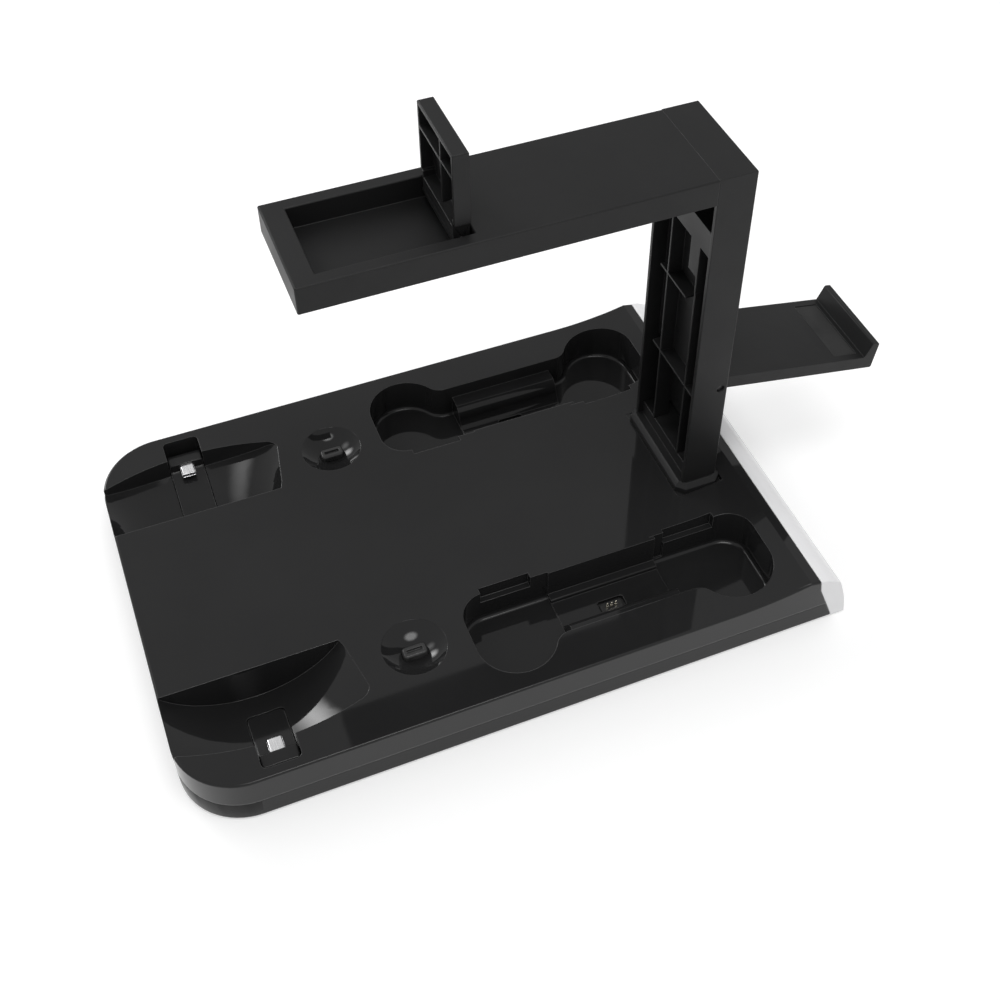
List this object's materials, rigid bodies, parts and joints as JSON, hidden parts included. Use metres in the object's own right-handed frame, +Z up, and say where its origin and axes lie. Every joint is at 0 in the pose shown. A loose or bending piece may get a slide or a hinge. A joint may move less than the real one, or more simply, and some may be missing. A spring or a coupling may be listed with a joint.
{
  "type": "controller charging dock",
  "caption": "Flat gloss-black charging base with moulded controller wells, cradles and dishes, and a column carrying an overhead arm with a folding flap and a folding rear bracket.",
  "frame": {"origin": "on the table, under the middle of the overall length with the rear bracket out, on the middle plane of the base", "axes": "+X along the base towards the column and the white end trim, +Y to the back, +Z up"},
  "size_m": [0.4253, 0.24, 0.2929],
  "materials": {
    "base_top_shell": "mirror gloss black",
    "base_bottom_shell": "gloss black",
    "column": "satin black outside, gloss inside",
    "column_foot": "satin black",
    "arm": "satin black with a fine grain",
    "arm_cover": "satin black",
    "arm_flap": "satin black",
    "rear_bracket": "satin black",
    "plug_carrier_back": "gloss black",
    "plug_carrier_front": "gloss black",
    "white_trim": "gloss white",
    "rubber_feet": "matte black",
    "bracket_pad": "matte black",
    "plug_steel": "bright",
    "contact_pin": "polished",
    "connector_plastic": "matte black",
    "circuit_board": "green solder mask",
    "screw_steel": "bright",
    "hinge_steel": "bright"
  },
  "bodies": {
    "dock": {"arm": "arm", "arm_cover": "arm_cover", "arm_cover_screws": "screw_steel", "base_bottom_shell": "base_bottom_shell", "base_top_shell": "base_top_shell", "board_screws": "screw_steel", "carrier_pin_back": "hinge_steel", "carrier_pin_front": "hinge_steel", "case_screws": "screw_steel", "column": "column", "column_foot": "column_foot", "column_foot_screws": "screw_steel", "dish_connector_back": "connector_plastic", "dish_connector_front": "connector_plastic", "end_trim": "white_trim", "flap_hinge_pin": "hinge_steel", "inlet_board": "circuit_board", "main_circuit_board": "circuit_board", "pin_block_back": "connector_plastic", "pin_block_front": "connector_plastic", "power_inlet_socket": "plug_steel", "rear_hinge_pin": "hinge_steel", "rubber_feet": "rubber_feet"},
    "flap": {"arm_flap": "arm_flap"},
    "bracket": {"rear_bracket": "rear_bracket", "bracket_pad": "bracket_pad"},
    "carrier_back": {"plug_carrier_back": "plug_carrier_back", "cradle_plug_back": "plug_steel"},
    "carrier_front": {"plug_carrier_front": "plug_carrier_front", "cradle_plug_front": "plug_steel"},
    "pin_back_1": {"contact_pin_back_1": "contact_pin"},
    "pin_back_2": {"contact_pin_back_2": "contact_pin"},
    "pin_back_3": {"contact_pin_back_3": "contact_pin"},
    "pin_front_1": {"contact_pin_front_1": "contact_pin"},
    "pin_front_2": {"contact_pin_front_2": "contact_pin"},
    "pin_front_3": {"contact_pin_front_3": "contact_pin"}
  },
  "joints": [
    {"name": "flap_hinge", "type": "hinge", "parent": "dock", "child": "flap", "pos_m": [-0.02964, 0, 0.2455], "axis": [0, -1, 0], "range_deg": [0, 90]},
    {"name": "bracket_hinge", "type": "hinge", "parent": "dock", "child": "bracket", "pos_m": [0.10976, 0, 0.108], "axis": [0, -1, 0], "range_deg": [0, 101.3]},
    {"name": "carrier_back_tilt", "type": "hinge", "parent": "dock", "child": "carrier_back", "pos_m": [-0.16344, 0.104, 0.012], "axis": [-1, 0, 0], "range_deg": [0, 10]},
    {"name": "carrier_front_tilt", "type": "hinge", "parent": "dock", "child": "carrier_front", "pos_m": [-0.16344, -0.104, 0.012], "axis": [1, 0, 0], "range_deg": [0, 10]},
    {"name": "pin_back_1_press", "type": "slide", "parent": "dock", "child": "pin_back_1", "axis": [0, 0, -1], "range_m": [0, 0.0009], "stiffness_N_per_m": 300, "springref_m": -0.0005},
    {"name": "pin_back_2_press", "type": "slide", "parent": "dock", "child": "pin_back_2", "axis": [0, 0, -1], "range_m": [0, 0.0009], "stiffness_N_per_m": 300, "springref_m": -0.0005},
    {"name": "pin_back_3_press", "type": "slide", "parent": "dock", "child": "pin_back_3", "axis": [0, 0, -1], "range_m": [0, 0.0009], "stiffness_N_per_m": 300, "springref_m": -0.0005},
    {"name": "pin_front_1_press", "type": "slide", "parent": "dock", "child": "pin_front_1", "axis": [0, 0, -1], "range_m": [0, 0.0009], "stiffness_N_per_m": 300, "springref_m": -0.0005},
    {"name": "pin_front_2_press", "type": "slide", "parent": "dock", "child": "pin_front_2", "axis": [0, 0, -1], "range_m": [0, 0.0009], "stiffness_N_per_m": 300, "springref_m": -0.0005},
    {"name": "pin_front_3_press", "type": "slide", "parent": "dock", "child": "pin_front_3", "axis": [0, 0, -1], "range_m": [0, 0.0009], "stiffness_N_per_m": 300, "springref_m": -0.0005}
  ]
}
